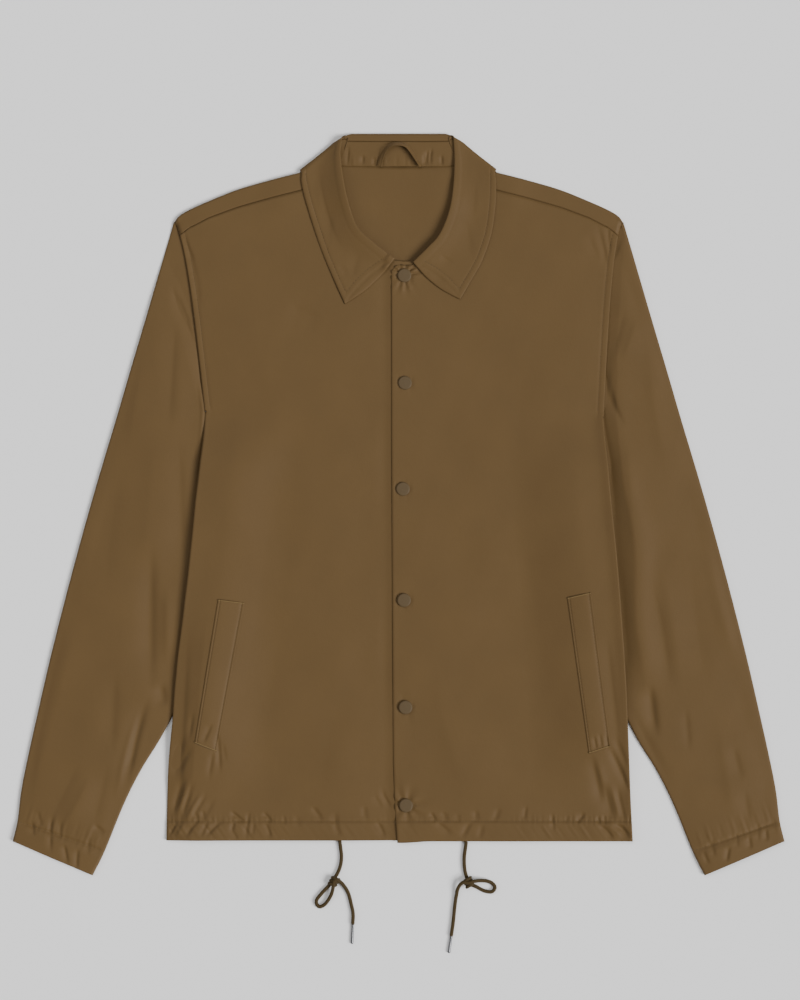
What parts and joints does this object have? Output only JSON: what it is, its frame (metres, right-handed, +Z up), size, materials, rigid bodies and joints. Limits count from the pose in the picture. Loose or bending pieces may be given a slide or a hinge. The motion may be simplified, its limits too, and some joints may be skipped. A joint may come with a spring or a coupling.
{
  "type": "coach jacket laid flat",
  "caption": "Unlined snap-front jacket with a turned-down collar, slanted welt pockets, elastic cuffs and a drawcord hem, lying flat on its back.",
  "frame": {"origin": "on the surface the jacket lies on, under the middle of the box of the cloth pieces", "axes": "+X to the wearer's left, +Y towards the collar, +Z up from the surface through the front"},
  "size_m": [0.7944, 0.8448, 0.0142],
  "materials": {
    "shell": "plain nylon taffeta with a low sheen",
    "drawcord": "round braid",
    "snap": "matte enamelled cap",
    "aglet": "plain crimped metal"
  },
  "bodies": {
    "root": {"back_panel": "shell", "front_left": "shell", "front_right": "shell", "sleeve_left": "shell", "sleeve_right": "shell", "collar_leaf": "shell", "collar_stand": "shell", "hanger_loop": "shell", "pocket_welt_left": "shell", "pocket_welt_right": "shell", "snap_1": "snap", "snap_2": "snap", "snap_3": "snap", "snap_4": "snap", "snap_5": "snap", "snap_6": "snap", "drawcord_left": "drawcord", "drawcord_right": "drawcord", "aglet_left": "aglet", "aglet_right": "aglet"}
  },
  "joints": []
}
